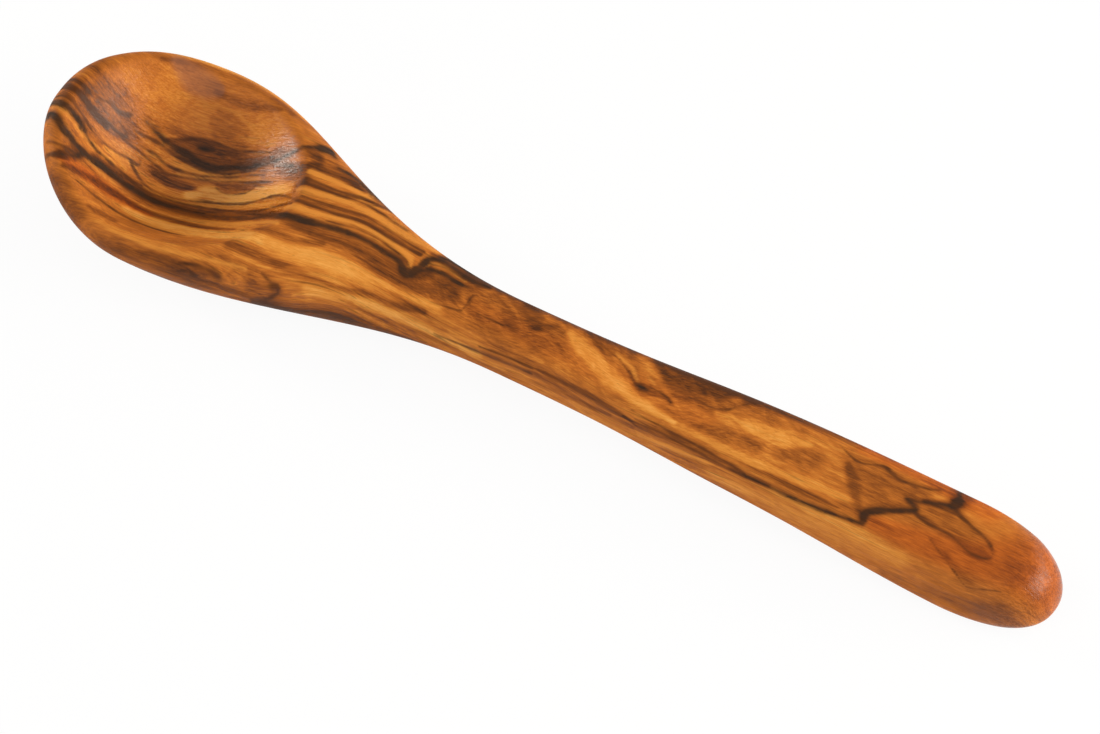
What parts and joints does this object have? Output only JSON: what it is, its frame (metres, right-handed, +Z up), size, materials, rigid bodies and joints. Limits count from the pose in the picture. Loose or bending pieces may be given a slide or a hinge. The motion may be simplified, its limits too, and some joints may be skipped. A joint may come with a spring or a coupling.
{
  "type": "egg spoon",
  "caption": "Carved wooden egg spoon with a deep round bowl, a narrow neck and a handle that widens to a rounded butt, for eating soft-boiled eggs from the shell.",
  "frame": {"origin": "on the table, below the middle of the spoon's length and width", "axes": "+X from the tip of the bowl to the butt of the handle, +Y across to one side, +Z up out of the bowl"},
  "size_m": [0.13, 0.0286, 0.0144],
  "materials": {
    "olive_wood": "satin, sanded and oiled"
  },
  "bodies": {
    "root": {"spoon": "olive_wood"}
  },
  "joints": []
}
